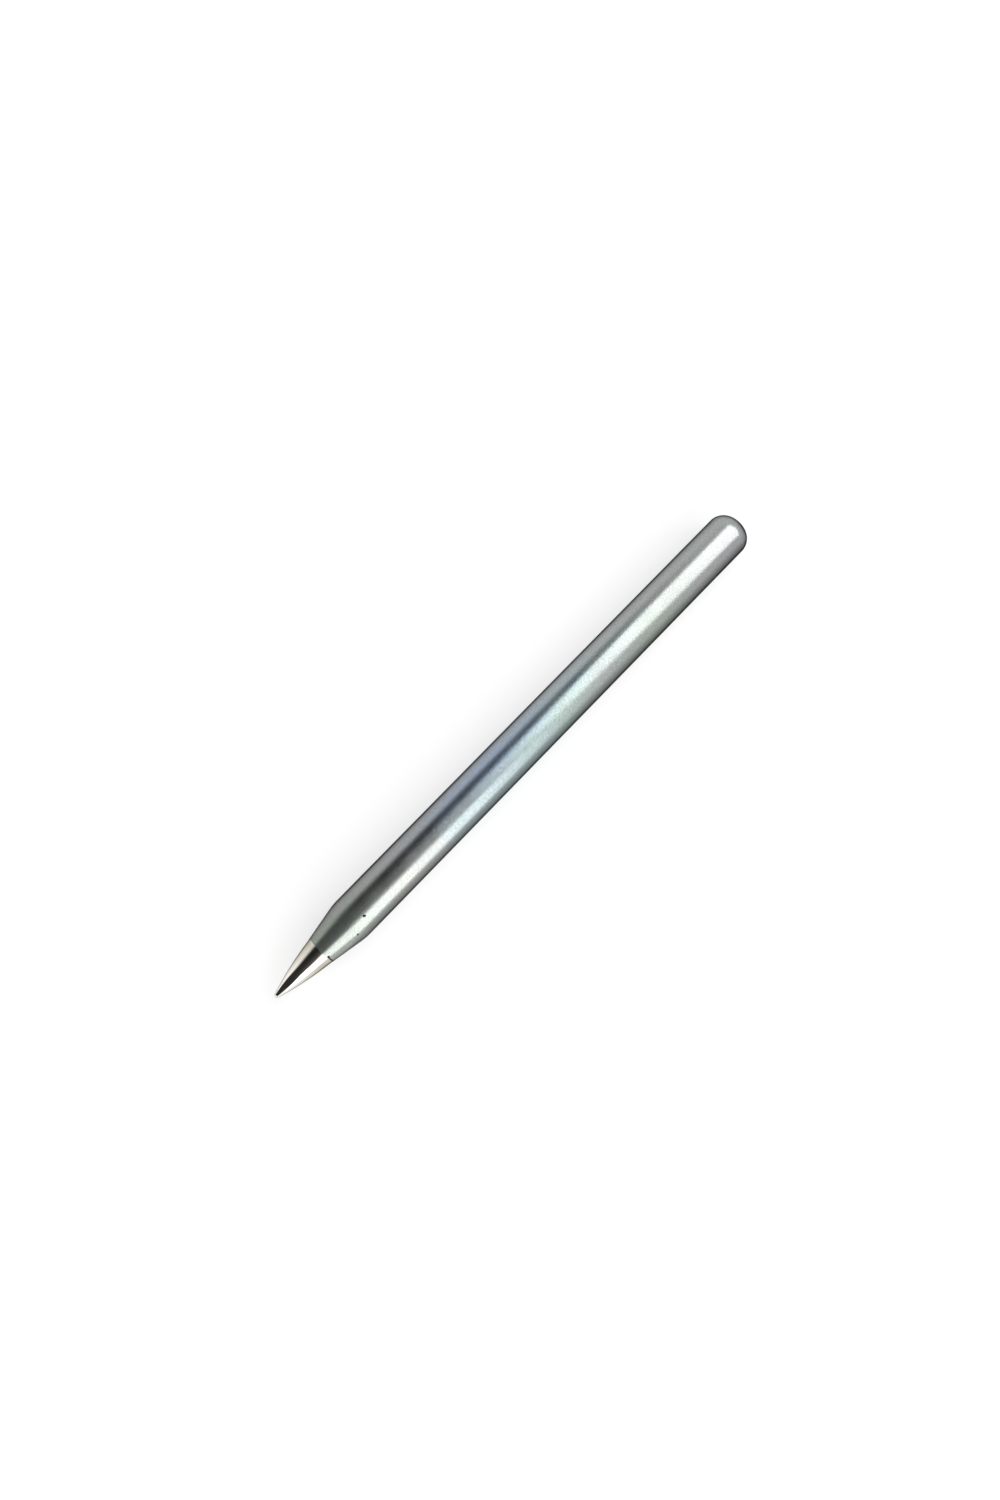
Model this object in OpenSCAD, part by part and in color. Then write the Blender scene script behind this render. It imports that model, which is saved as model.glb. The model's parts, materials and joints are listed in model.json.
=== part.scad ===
// Plug-in soldering iron tip: a copper rod turned in one piece, plated on its shank and tinned on its point.
// Its axis lies along X. The point looks towards -X and the rounded rear end towards +X.
// The origin is on the axis, where the straight wall of the shank meets the rounded rear end.

/* [Shank] */
// Length from the rear face to the very point
overall_length = 73; // [60:1:90]
// Diameter of the straight shank
shank_d = 5; // [4:0.1:6]
// Radius that rounds the rear end
rear_radius = 1.9; // [0.8:0.1:1.9]

/* [Nose] */
// Length from the corner that the shoulder rounds to the very point
nose_length = 10.9; // [10:0.1:14]
// Radius that blends the shank into the taper
shoulder_radius = 8; // [4:0.5:16]
// Diameter of the taper where the plating ends
plating_end_d = 3.45; // [2.8:0.05:3.8]

/* [Tinned point] */
// Length of the point, which is tinned and not plated
tinned_length = 6.6; // [5:0.1:7.5]
// Height of the plating's edge above the tinned surface
plating_step = 0.03; // [0.01:0.01:0.1]
// Radius of the long, slightly crowned curve of its side
side_radius = 38; // [30:1:200]
// Radius of the very point
point_radius = 0.3; // [0.2:0.05:0.6]

/* [Hidden] */

$fn = 128;
// Straight pieces that stand for each arc of the outline
rear_steps = 24;
shoulder_steps = 8;
side_steps = 12;
point_steps = 12;

shank_r = shank_d / 2;
taper_end_r = plating_end_d / 2;
tinned_r = taper_end_r - plating_step;

// Stations along the axis
rear_face = rear_radius;
point_end = rear_face - overall_length;
shoulder = point_end + nose_length;
plating_end = point_end + tinned_length;

// The shoulder's arc touches the shank's wall and the taper, equally far from their corner.
// It is kept small enough to leave most of a short taper straight.
taper_angle = atan2(shank_r - taper_end_r, shoulder - plating_end);
blend_length = min(shoulder_radius * tan(taper_angle / 2), (shoulder - plating_end) / 2);
blend_radius = blend_length / tan(taper_angle / 2);
shoulder_centre = [shank_r - blend_radius, shoulder + blend_length];

// The side's arc starts under the plating's edge and touches the very point's circle from outside
point_centre = [0, point_end + point_radius];
side_centre = meeting_point([tinned_r, plating_end], side_radius, point_centre, side_radius - point_radius);
side_start_angle = bearing([tinned_r, plating_end] - side_centre);
side_end_angle = bearing(point_centre - side_centre);

function bearing(v) = atan2(v[1], v[0]);

// Where a circle of radius r round p meets one of radius s round q, on the right of the way from p to q
function meeting_point(p, r, q, s) =
    let (gap = norm(q - p), way = (q - p) / gap, along = (gap * gap + r * r - s * s) / (2 * gap))
    p + along * way + sqrt(r * r - along * along) * [way[1], -way[0]];

// Points of an arc; its first one is left out where the arc goes on from another
function arc(centre, radius, from, to, steps, first = 0) =
    [for (i = [first:steps]) let (a = from + (to - from) * i / steps) centre + radius * [cos(a), sin(a)]];

// Half of the tip's lengthwise section: distance from the axis, then station along it
outline = concat(
    [[0, rear_face]],
    arc([shank_r - rear_radius, 0], rear_radius, 90, 0, rear_steps),
    arc(shoulder_centre, blend_radius, 0, -taper_angle, shoulder_steps),
    [[taper_end_r, plating_end]],
    arc(side_centre, side_radius, side_start_angle, side_end_angle, side_steps),
    arc(point_centre, point_radius, side_end_angle, -90, point_steps, first = 1)
);

module soldering_tip() {
    color([0.66, 0.69, 0.7])
        rotate([0, 90, 0])
            rotate_extrude()
                polygon(outline);
}

soldering_tip();
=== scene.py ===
# Soldering iron tip: the turned rod with its plating, tinned point and small marks,
# then the studio and the camera.
import json
import math

import bmesh
import bpy
from mathutils import Matrix, Vector


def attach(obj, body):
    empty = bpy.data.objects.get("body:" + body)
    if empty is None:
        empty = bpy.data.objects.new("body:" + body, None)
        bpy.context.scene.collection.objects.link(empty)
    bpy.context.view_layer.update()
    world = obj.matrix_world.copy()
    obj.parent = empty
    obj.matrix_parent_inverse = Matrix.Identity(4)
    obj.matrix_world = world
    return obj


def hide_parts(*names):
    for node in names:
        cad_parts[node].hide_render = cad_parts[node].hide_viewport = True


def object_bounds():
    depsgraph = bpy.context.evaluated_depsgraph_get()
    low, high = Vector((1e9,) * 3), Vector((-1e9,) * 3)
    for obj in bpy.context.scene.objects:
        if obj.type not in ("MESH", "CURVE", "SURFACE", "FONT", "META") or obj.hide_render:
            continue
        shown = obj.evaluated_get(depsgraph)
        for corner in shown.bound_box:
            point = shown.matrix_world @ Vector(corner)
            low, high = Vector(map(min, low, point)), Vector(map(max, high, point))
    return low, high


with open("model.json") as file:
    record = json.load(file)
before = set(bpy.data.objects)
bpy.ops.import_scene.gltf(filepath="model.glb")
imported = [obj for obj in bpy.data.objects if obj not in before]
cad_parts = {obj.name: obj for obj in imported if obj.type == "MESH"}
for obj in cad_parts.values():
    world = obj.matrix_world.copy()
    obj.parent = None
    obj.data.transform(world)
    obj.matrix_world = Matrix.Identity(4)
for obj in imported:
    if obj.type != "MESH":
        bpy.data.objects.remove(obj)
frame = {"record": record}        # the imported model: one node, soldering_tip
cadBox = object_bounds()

nodeName = "soldering_tip"
millimetre = 0.001
shankMount = frame["record"]["mounts"][0]["dims"]
shankRadius = shankMount["r_mm"] * millimetre
rearFace = cadBox[1].x
pointEnd = cadBox[0].x

# What the rod is turned to, as in the CAD model. Stations run along X, from the rear end to the point.
tipShape = {
    "columns": 256,                 # faces round the rod
    "rearRadius": 0.0019,           # rounding of the rear end
    "noseLength": 0.0109,           # from the shoulder's corner to the very point
    "shoulderRadius": 0.008,        # blend of the shank into the taper
    "platingEndRadius": 0.001725,   # where the plating ends on the taper
    "tinnedLength": 0.0066,
    "platingStep": 0.00003,         # height of the plating over the tin
    "lipRadius": 0.00002,           # rounding of the plating's edge
    "sideRadius": 0.038,            # crowned side of the tinned point
    "pointRadius": 0.0003,
    "smoothAngle": 30.0,            # edges sharper than this stay sharp
    # Where the rings of faces lie
    "rearFaceRings": (0.5, 0.4, 0),     # on the rear face: each one's size next to the one before it
    "rearRings": 24,                # round the rear end
    "ringGap": 0.002,               # between rings of the straight shank
    "ringDigits": 6,                # those places are rounded to a micrometre
    "fineGap": 0.00004,             # between rings where a mark is pressed in
    "fineReach": 0.0002,            # how far those close rings go on, each way
    "shoulderRings": 28,
    "taperRings": 8,
    "lipShare": 1.5,                # close rings behind the plating's edge go on this much further
    "lipAngles": (0.35, 0.75, 1.15, 1.55),    # round that edge, in radians from straight out
    "sideRings": 160,               # along the tinned side, before most are left out
    "footRings": 6,                 # the first ones, at the foot of the plating's edge, all stay
    "thinFrom": 8,                  # from this one on, only every so many stays
    "thinStep": 6,
    "pointRings": 12,
}

# Small marks. Angles are in degrees from straight up, positive towards -Y.
tipMarks = {
    "pits": [                       # station, angle, radius, depth, and how much of it holds the dark fill
        (-0.05880, 25.0, 0.00016, 0.00004, 0.92),
        (-0.05870, 27.4, 0.00012, 0.00002, 0.90),
        (-0.06062, 50.7, 0.00016, 0.00001, 0.70),
        (-0.03140, 151.0, 0.00014, 0.00004, 0.50),
        (-0.00920, 228.0, 0.00012, 0.00003, 0),
    ],
    "pitPatch": 1.6,                # the patch of smaller faces round a pit, in radii of the pit
    "edgeWaves": [                  # angle, how far the plating's edge lies towards the rear there
        (-49.0, 0.00007), (20.0, -0.00006), (45.0, 0.00005), (80.0, 0.00011),
        (132.0, -0.00005), (181.0, 0.00004), (236.0, -0.00006),
    ],
    "waveReach": 0.0009,            # how far each wave spreads
    "chipFrom": 42.0,               # the plating is chipped along its edge between these angles
    "chipTo": 84.0,
    "chipDepth": 0.00004,
    "chipWidth": 0.00020,           # the next six are shares of this width
    "chipLine": 0.30,               # half the width of the chip's thin line
    "chipDot": 0.42,                # how much wider it is at the dot
    "chipEnd": 0.16,                # and at its far end
    "chipWave": 0.05,               # how wavy its sides are
    "chipBehind": 0.35,             # how far behind the plating's end its middle lies
    "dotBehind": 0.25,              # and how much further the dot does
    "chipWaves": 17.0,              # radians of those waves over its length
    "dotPlace": 0.09,               # where the dot is along the chip, and how far it reaches
    "dotReach": 0.09,
    "patchWider": 1.5,              # the chip's patch of smaller faces, next to the chip itself
    "patchLonger": 0.125,
    "patchCuts": 2,
}

sameVertex = 1e-9        # metres: closer together than this is one vertex
onFace = 1e-7            # and this near the rear face is on it


def say(text):
    print("soldering iron tip:", text)


def turned(station, radius, angle):
    # A point on the rod: its station, its distance from the axis and its angle towards -Y
    turn = math.radians(angle)
    return Vector((station, -radius * math.sin(turn), radius * math.cos(turn)))


def angleOf(co):
    # The angle of a point on the rod, from 0 up to 360
    return math.degrees(math.atan2(-co.y, co.z)) % 360


def arcStations(centreX, centreRadius, radius, fromAngle, toAngle, steps):
    # (station, distance from the axis) along an arc; angles are radians from straight out, towards the rear
    angles = [fromAngle + (toAngle - fromAngle) * i / steps for i in range(steps + 1)]
    return [(centreX + radius * math.sin(a), centreRadius + radius * math.cos(a)) for a in angles]


def lineStations(start, end, places):
    # Stations on a straight stretch, at the given places along X
    slope = (end[1] - start[1]) / (end[0] - start[0])
    return [(x, start[1] + (x - start[0]) * slope) for x in places]


def closeRings(middle, gap, reach):
    count = round(reach / gap)
    return [middle + gap * i for i in range(-count, count + 1)]


def tipOutline(shape, marks):
    shoulder = pointEnd + shape["noseLength"]
    platingEnd = pointEnd + shape["tinnedLength"]
    endRadius = shape["platingEndRadius"]
    gap, reach = shape["fineGap"], shape["fineReach"]

    rounding = shape["rearRadius"]
    rearEnd = arcStations(0, shankRadius - rounding, rounding, math.pi / 2, 0, shape["rearRings"])

    blendRadius = shape["shoulderRadius"]
    taperAngle = math.atan2(shankRadius - endRadius, shoulder - platingEnd)
    blendStart = shoulder + blendRadius * math.tan(taperAngle / 2)
    blend = arcStations(
        blendStart, shankRadius - blendRadius, blendRadius, 0, -taperAngle, shape["shoulderRings"])

    # The straight shank has a ring every so often, and close rings where a mark is pressed in
    count = math.ceil(-blendStart / shape["ringGap"])
    places = [blendStart * i / count for i in range(1, count)]
    for mark in marks["pits"]:
        places += [x for x in closeRings(mark[0], gap, reach) if x > blendStart]
    places = {round(x, shape["ringDigits"]) for x in places}
    shank = [(x, shankRadius) for x in sorted(places, reverse=True)]

    # The taper has close rings only along the plating's rounded edge
    lip = shape["lipRadius"]
    lipStart = platingEnd + lip
    lipReach = reach * shape["lipShare"]
    last = blend[-1][0]
    rings = shape["taperRings"]
    places = [last + (lipStart + lipReach - last) * i / rings for i in range(1, rings)]
    places += sorted(closeRings(lipStart + lipReach / 2, gap / 2, lipReach / 2), reverse=True)
    taper = lineStations((shoulder, shankRadius), (platingEnd, endRadius), places)
    edgeRadius = taper[-1][1]
    edge = [(lipStart - lip * math.sin(a), edgeRadius - lip + lip * math.cos(a)) for a in shape["lipAngles"]]

    # The tinned side's arc starts at the foot of the plating's edge and runs into the very point's circle
    foot = Vector((endRadius - shape["platingStep"], platingEnd))
    tipCentre = Vector((0, pointEnd + shape["pointRadius"]))
    side, rest = shape["sideRadius"], shape["sideRadius"] - shape["pointRadius"]
    way = (tipCentre - foot).normalized()
    length = (tipCentre - foot).length
    along = (length ** 2 + side ** 2 - rest ** 2) / (2 * length)
    centre = foot + way * along + Vector((way.y, -way.x)) * math.sqrt(side ** 2 - along ** 2)
    sideFrom = math.atan2(foot.y - centre.y, foot.x - centre.x)
    sideTo = math.atan2(tipCentre.y - centre.y, tipCentre.x - centre.x)
    tinSide = arcStations(centre.y, centre.x, side, sideFrom, sideTo, shape["sideRings"])
    tinSide = tinSide[:shape["footRings"]] + tinSide[shape["thinFrom"]::shape["thinStep"]]
    veryPoint = arcStations(tipCentre.y, 0, shape["pointRadius"], sideTo, -math.pi / 2, shape["pointRings"])

    stations = rearEnd + shank + blend + taper + edge + tinSide + veryPoint[1:]
    return stations, platingEnd, math.tan(taperAngle)


def startEditing(piece):
    bpy.ops.object.select_all(action="DESELECT")
    bpy.context.view_layer.objects.active = piece
    piece.select_set(True)
    bpy.ops.object.mode_set(mode="EDIT")


def selectFaces(piece, wanted):
    # Selects the faces whose middle passes the test
    bpy.ops.mesh.select_mode(type="FACE")
    bpy.ops.mesh.select_all(action="DESELECT")
    shape = bmesh.from_edit_mesh(piece.data)
    for face in shape.faces:
        face.select_set(wanted(face.calc_center_median()))
    bmesh.update_edit_mesh(piece.data)


def selectVertices(piece, wanted):
    bpy.ops.mesh.select_mode(type="VERT")
    bpy.ops.mesh.select_all(action="DESELECT")
    shape = bmesh.from_edit_mesh(piece.data)
    for vertex in shape.verts:
        vertex.select_set(wanted(vertex.co))
    shape.select_flush_mode()
    bmesh.update_edit_mesh(piece.data)


def nearestVertex(piece, place):
    shape = bmesh.from_edit_mesh(piece.data)
    return min((v.co.copy() for v in shape.verts), key=lambda co: (co - place).length)


def pressFrom(piece, place, move, reach):
    # Moves the vertex nearest to a place, and what lies round it less and less
    start = nearestVertex(piece, place)
    selectVertices(piece, lambda co: (co - start).length < sameVertex)
    bpy.ops.transform.translate(
        value=move, use_proportional_edit=True, proportional_edit_falloff="SMOOTH", proportional_size=reach)


def turnTip(shape, marks):
    stations, platingEnd, slope = tipOutline(shape, marks)
    x, radius = stations[0]
    bpy.ops.object.select_all(action="DESELECT")
    bpy.ops.mesh.primitive_circle_add(
        vertices=shape["columns"], radius=radius, fill_type="NOTHING",
        location=(x, 0, 0), rotation=(0, math.pi / 2, 0))
    piece = bpy.context.object
    piece.name = "turned_tip"
    piece.data.name = "turned_tip"
    bpy.ops.object.transform_apply(location=True, rotation=True, scale=True)
    startEditing(piece)
    bpy.ops.mesh.select_mode(type="EDGE")
    bpy.ops.mesh.select_all(action="SELECT")
    for nextX, nextRadius in stations[1:]:
        bpy.ops.mesh.extrude_region_move(TRANSFORM_OT_translate={"value": (nextX - x, 0, 0)})
        share = max(nextRadius, 0) / radius
        bpy.ops.transform.resize(value=(1, share, share), center_override=(nextX, 0, 0))
        x, radius = nextX, nextRadius
    bpy.ops.mesh.merge(type="CENTER")        # closes the very point

    selectVertices(piece, lambda co: co.x > rearFace - onFace)
    for share in shape["rearFaceRings"]:     # the flat of the rear face
        bpy.ops.mesh.extrude_region_move()
        bpy.ops.transform.resize(value=(1, share, share), center_override=(rearFace, 0, 0))
    bpy.ops.mesh.merge(type="CENTER")
    bpy.ops.mesh.select_all(action="SELECT")
    bpy.ops.mesh.normals_make_consistent(inside=False)
    say(f"rod turned from {len(stations)} rings")
    return piece, platingEnd, slope


tinSlot, darkFillSlot = 1, 2     # the plating is slot 0


def assignSlot(piece, index):
    piece.active_material_index = index
    bpy.ops.object.material_slot_assign()


def markTip(piece, platingEnd, slope, shape, marks):
    selectFaces(piece, lambda co: co.x < platingEnd)
    assignSlot(piece, tinSlot)

    # The chip along the edge, in smaller faces: a dot near its start, and a thin line that thickens a little
    width = marks["chipWidth"]

    def inChip(co, wider=1.0, longer=0.0):
        share = (angleOf(co) - marks["chipFrom"]) / (marks["chipTo"] - marks["chipFrom"])
        if not -longer <= share <= 1 + longer:
            return False
        dot = math.exp(-((share - marks["dotPlace"]) / marks["dotReach"]) ** 2)
        wave = marks["chipWave"] * math.sin(share * marks["chipWaves"])
        shares = marks["chipLine"] + marks["chipDot"] * dot + marks["chipEnd"] * share ** 2 + wave
        behind = marks["chipBehind"] + marks["dotBehind"] * dot
        return abs(co.x - platingEnd - width * behind) < width * shares * wider

    selectFaces(piece, lambda co: inChip(co, marks["patchWider"], marks["patchLonger"]))
    bpy.ops.mesh.subdivide(number_cuts=marks["patchCuts"])
    selectVertices(piece, inChip)
    share = 1 - marks["chipDepth"] / shape["platingEndRadius"]
    bpy.ops.transform.resize(value=(1, share, share), center_override=(platingEnd, 0, 0))
    # Its faces get the dark fill: painted shade in the gap under the plating's edge
    selectFaces(piece, inChip)
    assignSlot(piece, darkFillSlot)

    # The plating's edge is a little wavy: it is pushed along the taper
    for angle, push in marks["edgeWaves"]:
        place = turned(platingEnd, shape["platingEndRadius"], angle)
        outwards = turned(0, 1, angle)
        pressFrom(piece, place, Vector((push, 0, 0)) + outwards * push * slope, marks["waveReach"])

    # The pits, each in a patch of smaller faces
    for station, angle, radius, depth, dark in marks["pits"]:
        surface = nearestVertex(piece, turned(station, shankRadius, angle))
        selectFaces(piece, lambda co: (co - surface).length < radius * marks["pitPatch"])
        bpy.ops.mesh.subdivide(number_cuts=marks["patchCuts"])
        pressFrom(piece, surface, turned(0, -depth, angle), radius)
        if dark:
            selectFaces(piece, lambda co: (co - surface).length < radius * dark)
            assignSlot(piece, darkFillSlot)
    bpy.ops.object.mode_set(mode="OBJECT")
    say(f"marks made, {len(piece.data.polygons)} faces")


nodeStep = (200, 180)       # spacing of the nodes in the editor
shaderColumn = 8            # where the shader stands there
white = (1, 1, 1, 1)


def addNode(tree, kind, across, down, **settings):
    node = tree.nodes.new(kind)
    node.location = (across * nodeStep[0], -down * nodeStep[1])
    for name, value in settings.items():
        setattr(node, name, value)
    return node


def newGroup(name, inputs, outputs):
    tree = bpy.data.node_groups.new(name, "ShaderNodeTree")
    for label, kind in inputs:
        tree.interface.new_socket(name=label, in_out="INPUT", socket_type=kind)
    for label in outputs:
        tree.interface.new_socket(name=label, in_out="OUTPUT", socket_type="NodeSocketFloat")
    return tree, addNode(tree, "NodeGroupInput", -4, 0), addNode(tree, "NodeGroupOutput", 5, 0)


def splitPlace(tree, across, down, place):
    # The x, y and z of a place or a direction
    node = addNode(tree, "ShaderNodeSeparateXYZ", across, down)
    tree.links.new(place, node.inputs[0])
    return node.outputs


def arithmetic(tree, operation, across, down, first, second=None, third=None):
    # A Math node; each value is a socket or a number
    node = addNode(tree, "ShaderNodeMath", across, down, operation=operation)
    for socket, value in zip(node.inputs, (first, second, third)):
        if isinstance(value, (int, float)):
            socket.default_value = value
        elif value is not None:
            tree.links.new(value, socket)
    return node.outputs[0]


def between(tree, across, down, value, fromLow, fromHigh, toLow, toHigh, steps="SMOOTHSTEP"):
    node = addNode(tree, "ShaderNodeMapRange", across, down, interpolation_type=steps)
    tree.links.new(value, node.inputs["Value"])
    for name, number in zip(("From Min", "From Max", "To Min", "To Max"), (fromLow, fromHigh, toLow, toHigh)):
        node.inputs[name].default_value = number
    return node.outputs["Result"]


mixSockets = (0, 6, 7)      # factor and the two colours, where a Mix node mixes colours
mixResult = 2


def mixColours(tree, across, down, factor, first, second, blendType="MIX"):
    node = addNode(tree, "ShaderNodeMix", across, down, data_type="RGBA", blend_type=blendType)
    for index, value in zip(mixSockets, (factor, first, second)):
        if isinstance(value, bpy.types.NodeSocket):
            tree.links.new(value, node.inputs[index])
        else:
            node.inputs[index].default_value = value
    return node.outputs[mixResult]


# The fine crystals of a plated or tinned surface, and the broad cloudiness over them
grainLook = {
    "noiseDetail": 3.0,
    "noiseRoughness": 0.6,
    "crystalScale": 0.8,            # next to the noise's scale
    "crystalShare": 0.5,            # how much the crystals count next to the noise
    "grainRange": (0.35, 1.15),     # what of both together gives a grain of 0 and of 1
    "cloudDetail": 4.0,
    "cloudRange": (0.3, 0.7),
}


def buildGrain(look):
    tree, start, end = newGroup(
        "fine grain",
        [("Vector", "NodeSocketVector"), ("Grain Scale", "NodeSocketFloat"),
         ("Cloud Scale", "NodeSocketFloat")],
        ["Grain", "Clouds"])
    noise = addNode(tree, "ShaderNodeTexNoise", -1, 0)
    noise.inputs["Detail"].default_value = look["noiseDetail"]
    noise.inputs["Roughness"].default_value = look["noiseRoughness"]
    crystals = addNode(tree, "ShaderNodeTexVoronoi", -1, 2)
    clouds = addNode(tree, "ShaderNodeTexNoise", -1, 4)
    clouds.inputs["Detail"].default_value = look["cloudDetail"]
    for node in (noise, crystals, clouds):
        tree.links.new(start.outputs["Vector"], node.inputs["Vector"])
    tree.links.new(start.outputs["Grain Scale"], noise.inputs["Scale"])
    tree.links.new(start.outputs["Cloud Scale"], clouds.inputs["Scale"])
    finer = arithmetic(tree, "MULTIPLY", -2, 2, start.outputs["Grain Scale"], look["crystalScale"])
    tree.links.new(finer, crystals.inputs["Scale"])
    both = arithmetic(
        tree, "MULTIPLY_ADD", 1, 1, crystals.outputs["Distance"], look["crystalShare"], noise.outputs["Fac"])
    cloudy = between(tree, 2, 3, clouds.outputs["Fac"], *look["cloudRange"], 0, 1)
    tree.links.new(between(tree, 2, 0, both, *look["grainRange"], 0, 1, "LINEAR"), end.inputs["Grain"])
    tree.links.new(cloudy, end.inputs["Clouds"])
    return tree


def useGrain(tree, group, across, down, place, look):
    # The shared grain at a material's own scales
    node = addNode(tree, "ShaderNodeGroup", across, down, node_tree=group)
    tree.links.new(place, node.inputs["Vector"])
    node.inputs["Grain Scale"].default_value = look["grainScale"]
    node.inputs["Cloud Scale"].default_value = look["cloudScale"]
    return node.outputs


def newMaterial(name, **constants):
    material = bpy.data.materials.new(name)
    material.use_nodes = True
    tree = material.node_tree
    shader = tree.nodes["Principled BSDF"]
    shader.location = (shaderColumn * nodeStep[0], 0)
    for label, value in constants.items():
        shader.inputs[label.replace("_", " ")].default_value = value
    return material, tree, shader, addNode(tree, "ShaderNodeTexCoord", -5, 0).outputs["Object"]


def addRelief(tree, across, down, height, depth, shader):
    bump = addNode(tree, "ShaderNodeBump", across, down)
    bump.inputs["Distance"].default_value = depth
    tree.links.new(height, bump.inputs["Height"])
    tree.links.new(bump.outputs["Normal"], shader.inputs["Normal"])


# The thin film on the plating, which also holds painted light and shade: each side has its own hues, darker
# on the +Y side near the nose and on the -Y side towards the rear. Each hue is how much of red, green and
# blue the metal throws back.
# Places are along X or Y in metres: where a change starts, and where it is full.
platingLook = {
    "hues": {
        "moss": (0.250, 0.284, 0.247),
        "haze": (0.268, 0.296, 0.306),
        "lilac": (0.264, 0.312, 0.390),
        "blue": (0.260, 0.332, 0.438),
        "teal": (0.292, 0.354, 0.368),
        "clear": (0.312, 0.335, 0.328),
        "fern": (0.329, 0.354, 0.329),
        "pale": (0.340, 0.354, 0.341),
        "mist": (0.301, 0.348, 0.355),
        "lagoon": (0.274, 0.330, 0.338),
        "sea": (0.264, 0.320, 0.297),
        "ash": (0.266, 0.286, 0.282),
        "sage": (0.256, 0.282, 0.257),
        "grey": (0.258, 0.262, 0.266),
    },
    "filmAndShadeLeft": [              # the film with its painted shade on the +Y side: station, hue
        (-0.0700, "moss"), (-0.0595, "moss"), (-0.0515, "haze"), (-0.0435, "lilac"), (-0.0350, "blue"),
        (-0.0255, "teal"), (-0.0150, "clear"), (-0.0030, "clear"),
    ],
    "filmAndShadeRight": [             # and on the -Y side
        (-0.0700, "fern"), (-0.0600, "fern"), (-0.0500, "pale"), (-0.0430, "mist"), (-0.0350, "lagoon"),
        (-0.0290, "sea"), (-0.0220, "ash"), (-0.0140, "sage"), (-0.0030, "grey"),
    ],
    "sideChange": (0.0009, -0.0012),    # along Y, from the left film to the right one
    "filmWander": 0.004,       # how far the colours stray along the rod, in metres
    "rimFade": 0.7,            # how much of the colour is lost at the rim on the +Y side
    "rimFadeFrom": (0.0007, 0.0018),
    # Painted shade: a near black mixed into the colour along both flanks and on the -Y side of the rear end
    "paintedShade": (0.050, 0.050, 0.052, 1),
    "flankPaintedShade": (0.34, 0.27),       # how much of it lies along the -Y and the +Y flank
    "nearFlank": (-0.00188, -0.00230),
    "farFlank": (0.00196, 0.00226),
    "rearPaintedShade": 0.50,       # and on the -Y side of the rear end
    "rearPaintedShadeFrom": (0.0008, 0.0014),
    "noseHaze": 0.15,          # how much of the taper's shine is dulled
    "noseHazeFrom": (-0.0570, -0.0618),
    "grainScale": 7000.0,
    "cloudScale": 260.0,
    "grainShade": (0.80, 1.20),         # how much darker and paler the grain makes the colour
    "grainDepth": 0.0000032,
    "roughness": 0.23,
    "roughnessSpread": 0.04,   # how much it changes with the clouds
    "edgeGloss": 0.28,         # how much of the roughness is left where the surface is seen edge on
    "edgeBlend": 0.5,
    "edgeRange": (0.35, 0.70),
    "rimTint": (0.0, 0.0, 0.0, 1),      # what the metal adds to its colour at its rim: nothing
    "coat": 0.4,               # a weak clear skin, so that it shines end on too
    "coatIor": 1.1,
    "coatRoughness": 0.12,
}


def filmAndShadeRamp(tree, across, down, along, stations, hues):
    # The film's colour, with its painted light and shade, along one side of the rod
    first, last = stations[0][0], stations[-1][0]
    share = between(tree, across, down, along, first, last, 0, 1, "LINEAR")
    ramp = addNode(tree, "ShaderNodeValToRGB", across + 1, down)
    ramp.color_ramp.interpolation = "CARDINAL"
    stops = ramp.color_ramp.elements
    while len(stops) < len(stations):
        stops.new(0.5)         # each stop gets its place below
    for stop, (station, hue) in zip(stops, stations):
        stop.position = (station - first) / (last - first)
        stop.color = (*hues[hue], 1)
    tree.links.new(share, ramp.inputs["Fac"])
    return ramp.outputs["Color"]


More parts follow.
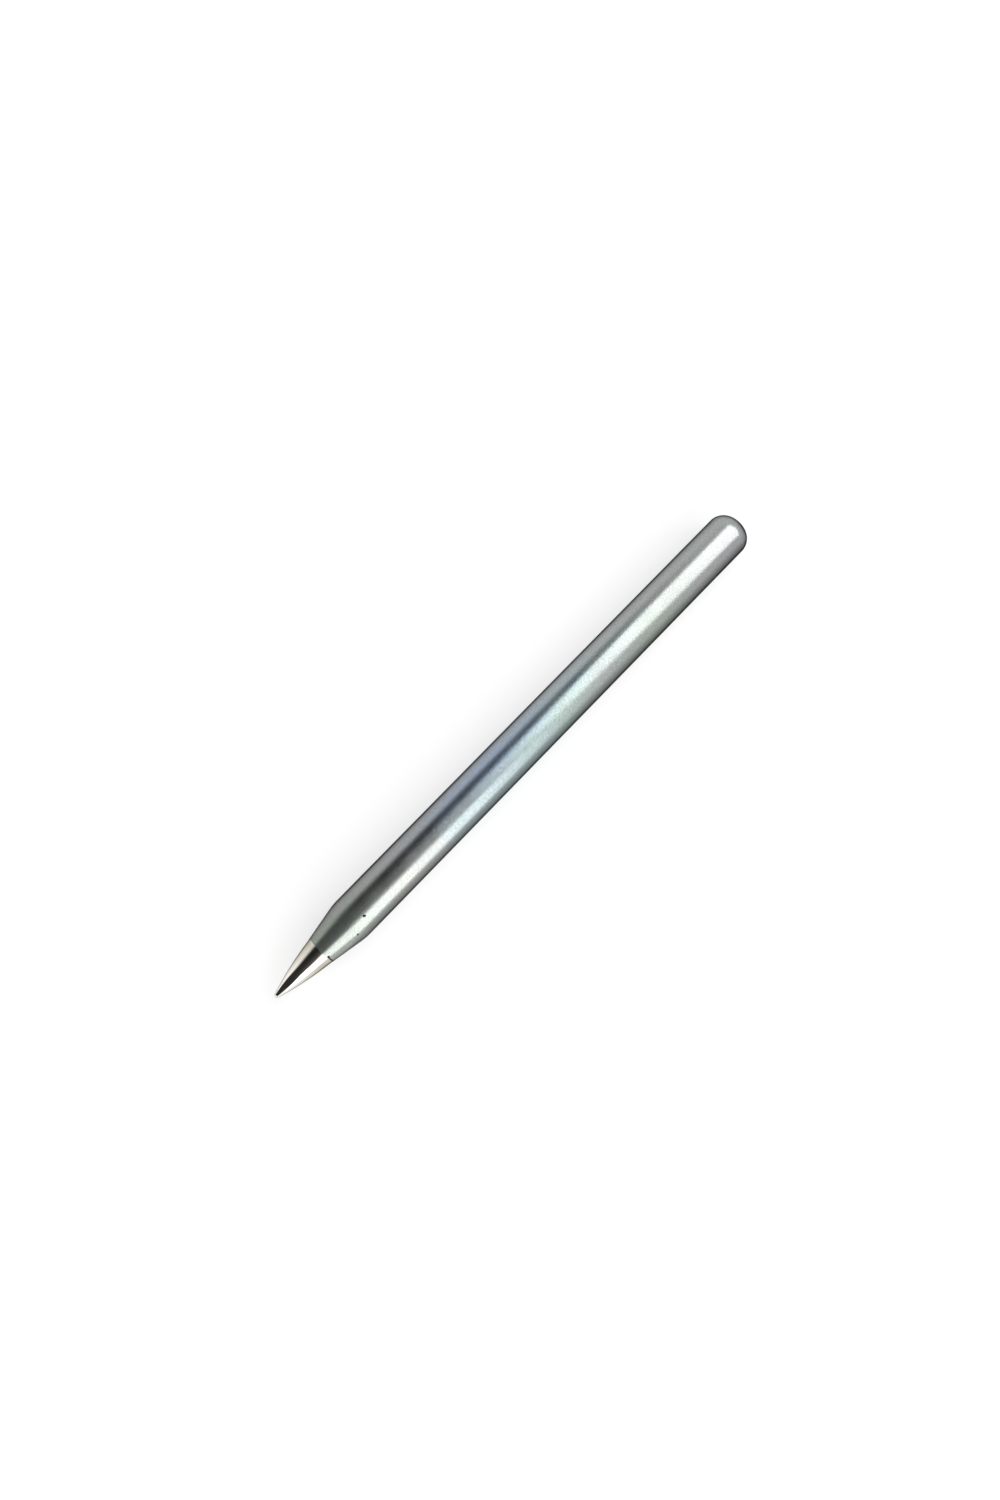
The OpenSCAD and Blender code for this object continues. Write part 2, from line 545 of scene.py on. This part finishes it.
def buildPlating(grain, look):
    material, tree, shader, place = newMaterial(
        "satin plating", Specular_Tint=look["rimTint"],
        Coat_Weight=look["coat"], Coat_IOR=look["coatIor"], Coat_Roughness=look["coatRoughness"])
    fine = useGrain(tree, grain, -3, 2, place, look)
    x, y, _ = splitPlace(tree, -4, -1, place)

    # The film's colour on each side, with its painted light and shade
    strayed = arithmetic(tree, "SUBTRACT", -2, 0, fine["Clouds"], 0.5)
    along = arithmetic(tree, "MULTIPLY_ADD", -1, 0, strayed, look["filmWander"], x)
    left = filmAndShadeRamp(tree, 0, -2, along, look["filmAndShadeLeft"], look["hues"])
    right = filmAndShadeRamp(tree, 0, 0, along, look["filmAndShadeRight"], look["hues"])
    pale = addNode(tree, "ShaderNodeRGBToBW", 2, -3)
    tree.links.new(left, pale.inputs[0])
    fade = between(tree, 0, 3, y, *look["rimFadeFrom"], 0, look["rimFade"])
    faded = mixColours(tree, 2, -2, fade, left, pale.outputs[0])
    side = between(tree, 0, 2, y, *look["sideChange"], 0, 1)
    filmAndShade = mixColours(tree, 3, 0, side, faded, right)

    # Painted shade along both flanks, darkening the rims as the floor's shadow seen in them would, and a
    # painted dark reflection on the -Y side of the rear end
    nearFlank = between(tree, 0, 4, y, *look["nearFlank"], 0, look["flankPaintedShade"][0])
    farFlank = between(tree, 0, 5, y, *look["farFlank"], 0, look["flankPaintedShade"][1])
    flanks = arithmetic(tree, "ADD", 1, 4, nearFlank, farFlank)
    atRear = between(tree, 0, 6, x, *look["rearPaintedShadeFrom"], 0, look["rearPaintedShade"])
    atRear = arithmetic(tree, "MULTIPLY", 1, 6, atRear, side)
    paintedShade = arithmetic(tree, "MAXIMUM", 2, 5, flanks, atRear)
    filmAndShade = mixColours(tree, 4, 2, paintedShade, filmAndShade, look["paintedShade"])

    # The grain shades it
    shade = between(tree, 2, 1, fine["Grain"], 0, 1, *look["grainShade"], "LINEAR")
    grey = addNode(tree, "ShaderNodeCombineColor", 3, 1)
    for socket in grey.inputs:
        tree.links.new(shade, socket)
    speckled = mixColours(tree, 5, 0, 1.0, filmAndShade, grey.outputs["Color"], "MULTIPLY")
    tree.links.new(speckled, shader.inputs["Base Color"])

    # The taper is duller, where heat has worked on it
    dulled = between(tree, 4, -1, x, *look["noseHazeFrom"], 1, 1 - look["noseHaze"])
    tree.links.new(dulled, shader.inputs["Metallic"])

    # Roughness and relief
    spread = look["roughnessSpread"]
    rough = arithmetic(tree, "MULTIPLY_ADD", 3, 2, fine["Clouds"], spread, look["roughness"] - spread / 2)
    edgeOn = addNode(tree, "ShaderNodeLayerWeight", 3, 6)
    edgeOn.inputs["Blend"].default_value = look["edgeBlend"]
    gloss = between(tree, 4, 6, edgeOn.outputs["Facing"], *look["edgeRange"], 1, look["edgeGloss"])
    tree.links.new(arithmetic(tree, "MULTIPLY", 5, 2, rough, gloss), shader.inputs["Roughness"])
    addRelief(tree, 5, 4, fine["Grain"], look["grainDepth"], shader)
    return material


tinLook = {
    "colour": (0.60, 0.56, 0.485, 1),
    "dull": (0.52, 0.485, 0.42, 1),     # in the clouds
    "paintedPale": (0.86, 0.83, 0.77, 1),     # painted light: paler towards the very point, where its reflections are brighter
    "paintedPaleFrom": (-0.0648, -0.0692),    # along X, where it starts and where it is full
    "grainScale": 3500.0,
    "cloudScale": 700.0,
    "roughness": 0.05,
    "roughnessSpread": 0.04,            # how much it changes with the grain
    "waveDepth": 0.0000015,
    "grainShare": 0.15,                 # how much the grain counts in those waves, next to the clouds
    "rimTint": (0.0, 0.0, 0.0, 1),
}


def buildTin(grain, look):
    material, tree, shader, place = newMaterial("bright tin", Metallic=1.0, Specular_Tint=look["rimTint"])
    fine = useGrain(tree, grain, -3, 0, place, look)
    colour = mixColours(tree, 0, 0, fine["Clouds"], look["colour"], look["dull"])
    # Paler towards the very point: painted light for its brighter reflections there
    paintedPaler = between(tree, -1, -1, splitPlace(tree, -2, -1, place)["X"], *look["paintedPaleFrom"], 0, 1)
    tree.links.new(mixColours(tree, 1, 0, paintedPaler, colour, look["paintedPale"]), shader.inputs["Base Color"])
    spread = look["roughnessSpread"]
    rough = arithmetic(tree, "MULTIPLY_ADD", 0, 2, fine["Grain"], spread, look["roughness"] - spread / 2)
    tree.links.new(rough, shader.inputs["Roughness"])
    height = arithmetic(tree, "MULTIPLY_ADD", 1, 4, fine["Grain"], look["grainShare"], fine["Clouds"])
    addRelief(tree, 3, 4, height, look["waveDepth"], shader)
    return material


# A near-black fill in the pits, and in the chip, where it is painted shade in the gap under the plating's
# edge
darkFillLook = {
    "dark": (0.004, 0.0035, 0.003, 1),
    "brown": (0.014, 0.012, 0.010, 1),
    "gloss": 0.15,
    "roughness": (0.45, 0.75),          # changes with the grain between these
    "grainScale": 12000.0,
    "cloudScale": 3000.0,
}


def buildDarkFill(grain, look):
    material, tree, shader, place = newMaterial("dark fill and painted chip shade", Specular_IOR_Level=look["gloss"])
    fine = useGrain(tree, grain, -3, 0, place, look)
    colour = mixColours(tree, 0, 0, fine["Clouds"], look["dark"], look["brown"])
    tree.links.new(colour, shader.inputs["Base Color"])
    tree.links.new(between(tree, 0, 2, fine["Grain"], 0, 1, *look["roughness"]), shader.inputs["Roughness"])
    return material


# The studio: two soft lamps in a pale room, with an unlit gap overhead where the camera stands.
# Leans are degrees from straight up, positive towards -Y or +X. A reach of the room or the gap is the
# X or Y of the direction in which one looks, from -1 to 1.
studio = {
    "lampTarget": (-0.035, 0, 0),
    "lampDistance": 0.5,
    "lamps": [        # name, shape, degrees from straight up, azimuth, width, height, roll, radiance
        ("side softbox", "RECTANGLE", 65.0, -102.0, 0.390, 0.455, 3.8, 1.70),
        ("round softbox", "ELLIPSE", 34.2, -24.0, 0.645, 0.380, 38.8, 2.50),
    ],
    "roomBrightness": (1.28, 1.12),    # on the -Y side and on the +Y side
    "roomReach": (-0.6, 0.6),      # along Y, where those are
    "gapBrightness": 0.03,
    "gapGlow": 0.13,               # how much brighter the gap gets towards -Y
    "gapGlowFrom": (-5.0, 39.0),   # leans between which it does
    "gapGlowReach": (-0.52, -0.32),    # and along X: none beyond the first, all of it from the second on
    "gapFar": (-63.0, -32.0),      # the gap's edge on the +Y side: leans where it starts and where it is full
    "gapNear": (20.0, 46.0),       # its edge on the -Y side: where it is still full, and where it has ended
    "gapFront": (11.8, 14.4),      # and towards +X
    "gapBack": (-58.0, -42.0),     # its edge towards -X: where it starts, and where it is full
    "gapSkew": 0.11,               # how much the edge towards +X slants
    "gapBend": 40.0,               # how far the near edge moves outwards towards -X
    "gapBendReach": (-0.70, -0.25),
    "gapSpread": 26.0,             # and the far edge
    "gapSpreadReach": (-0.49, -0.38),
    "floorSize": 6.0,
    "floorColour": (0.38, 0.38, 0.38, 1),
    "floorGlow": (0.59, 0.72),         # near the object and far from it
    "floorGlowReach": (0.15, 0.80),    # how far from the middle those are, in metres
}


def directionTo(tilt, azimuth):
    tilt, azimuth = math.radians(tilt), math.radians(azimuth)
    return Vector((math.sin(tilt) * math.cos(azimuth), math.sin(tilt) * math.sin(azimuth), math.cos(tilt)))


def buildSurround(look):
    world = bpy.data.worlds.new("pale studio")
    bpy.context.scene.world = world
    world.use_nodes = True
    tree = world.node_tree
    background = tree.nodes["Background"]
    background.inputs["Color"].default_value = white
    x, y, z = splitPlace(tree, -8, 0, addNode(tree, "ShaderNodeTexCoord", -9, 0).outputs["Generated"])
    room = between(tree, -3, 4, y, *look["roomReach"], *look["roomBrightness"])

    # The gap is where all four of its edges let it be
    lean = arithmetic(tree, "ARCTAN2", -5, 0, arithmetic(tree, "MULTIPLY", -6, 0, y, -1), z)
    bend = between(tree, -6, 2, x, *look["gapBendReach"], math.radians(look["gapBend"]), 0, "LINEAR")
    spread = between(tree, -6, 3, x, *look["gapSpreadReach"], math.radians(look["gapSpread"]), 0)
    far = arithmetic(tree, "ADD", -4, 0, lean, spread)
    near = arithmetic(tree, "SUBTRACT", -4, 1, lean, bend)
    front = arithmetic(tree, "MULTIPLY_ADD", -4, 2, lean, look["gapSkew"], x)
    opens, closes = (0, 1), (1, 0)
    gap = 1
    for row, (value, edge, shares) in enumerate((
        (far, "gapFar", opens), (near, "gapNear", closes), (front, "gapFront", closes), (x, "gapBack", opens),
    )):
        start, end = (math.radians(a) if edge != "gapBack" else math.sin(math.radians(a)) for a in look[edge])
        side = between(tree, -3, row, value, start, end, *shares)
        gap = arithmetic(tree, "MULTIPLY", -2, row, gap, side)
    lit = arithmetic(tree, "SUBTRACT", -1, 2, 1, gap)
    strength = arithmetic(tree, "MULTIPLY", -1, 4, room, lit)

    # Within the gap a faint glow grows towards -Y, but not at its far back
    start, end = (math.radians(a) for a in look["gapGlowFrom"])
    grows = between(tree, -3, 6, lean, start, end, 0, look["gapGlow"], "LINEAR")
    grows = arithmetic(tree, "MULTIPLY", -2, 6, grows, between(tree, -3, 7, x, *look["gapGlowReach"], 0, 1))
    inGap = arithmetic(tree, "ADD", -1, 6, grows, look["gapBrightness"])
    glow = arithmetic(tree, "MULTIPLY_ADD", 0, 3, gap, inGap, strength)

    # The camera itself sees plain white
    seen = addNode(tree, "ShaderNodeLightPath", 0, 5).outputs["Is Camera Ray"]
    unseen = arithmetic(tree, "MULTIPLY", 1, 4, glow, arithmetic(tree, "SUBTRACT", 1, 5, 1, seen))
    tree.links.new(arithmetic(tree, "ADD", 2, 4, unseen, seen), background.inputs["Strength"])


def buildLamps(look):
    for name, outline, tilt, azimuth, width, height, roll, radiance in look["lamps"]:
        towards = directionTo(tilt, azimuth)
        lamp = bpy.data.lights.new(name, "AREA")
        lamp.shape = outline
        lamp.size, lamp.size_y = width, height
        lamp.energy = radiance * math.pi * width * height * (math.pi / 4 if outline == "ELLIPSE" else 1)
        holder = bpy.data.objects.new(name, lamp)
        bpy.context.scene.collection.objects.link(holder)
        # Its back points away from the object; its width runs along the azimuth circle, then it is rolled
        across = Vector((-math.sin(math.radians(azimuth)), math.cos(math.radians(azimuth)), 0))
        upwards = towards.cross(across)
        turn = math.radians(roll)
        xAxis = across * math.cos(turn) + upwards * math.sin(turn)
        yAxis = towards.cross(xAxis)
        holder.rotation_euler = Matrix((xAxis, yAxis, towards)).transposed().to_euler()
        holder.location = Vector(look["lampTarget"]) + towards * look["lampDistance"]
        holder.visible_camera = False


def buildFloor(look):
    bpy.ops.object.select_all(action="DESELECT")
    bpy.ops.mesh.primitive_plane_add(size=look["floorSize"], location=(0, 0, -shankRadius))
    floor = bpy.context.object
    floor.name = "pale floor"
    material, tree, shader, place = newMaterial(
        "pale floor", Base_Color=look["floorColour"], Roughness=1.0, Specular_IOR_Level=0.0,
        Emission_Color=white)
    # The floor shows white to the camera and in the metal, and keeps the shadow
    path = addNode(tree, "ShaderNodeLightPath", -4, 0).outputs
    seen = arithmetic(tree, "ADD", -2, 0, path["Is Camera Ray"], path["Is Glossy Ray"])
    seen = arithmetic(tree, "ADD", -1, 0, seen, path["Is Transmission Ray"])
    # Far from the lamps it glows a little more, so that it stays as white as near them
    distance = addNode(tree, "ShaderNodeVectorMath", -2, 2, operation="LENGTH")
    tree.links.new(place, distance.inputs[0])
    glow = between(tree, -1, 2, distance.outputs["Value"], *look["floorGlowReach"], *look["floorGlow"])
    tree.links.new(arithmetic(tree, "MULTIPLY", 0, 0, seen, glow), shader.inputs["Emission Strength"])
    floor.data.materials.append(material)


# The photo's viewpoint: places in metres, angles in degrees, the lens in millimetres
viewpoint = {
    "target": (-0.0357180, 0.0013245, 0.0000133),
    "azimuth": -46.4331,
    "elevation": 75.8942,
    "distance": 0.153842,
    "lens": 33.919,
    "clipStart": 0.01,
}


def placeCamera(look):
    camera = bpy.data.cameras.new("camera")
    camera.lens = look["lens"]
    camera.clip_start = look["clipStart"]
    holder = bpy.data.objects.new("camera", camera)
    bpy.context.scene.collection.objects.link(holder)
    azimuth, elevation = math.radians(look["azimuth"]), math.radians(look["elevation"])
    level = math.cos(elevation)
    back = Vector((math.sin(azimuth) * level, -math.cos(azimuth) * level, math.sin(elevation)))
    holder.location = Vector(look["target"]) + back * look["distance"]
    holder.rotation_euler = (math.pi / 2 - elevation, 0, azimuth)
    bpy.context.scene.camera = holder


tip, platingEnd, slope = turnTip(tipShape, tipMarks)
grain = buildGrain(grainLook)
tip.data.materials.append(buildPlating(grain, platingLook))
tip.data.materials.append(buildTin(grain, tinLook))
tip.data.materials.append(buildDarkFill(grain, darkFillLook))
say("plating, tin and dark fill mixed")
markTip(tip, platingEnd, slope, tipShape, tipMarks)
bpy.ops.object.shade_smooth_by_angle(angle=math.radians(tipShape["smoothAngle"]))
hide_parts(nodeName)
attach(tip, "root")

buildSurround(studio)
buildLamps(studio)
buildFloor(studio)
say("studio lit")
placeCamera(viewpoint)
bpy.context.scene.view_settings.view_transform = "Standard"
say("camera set")
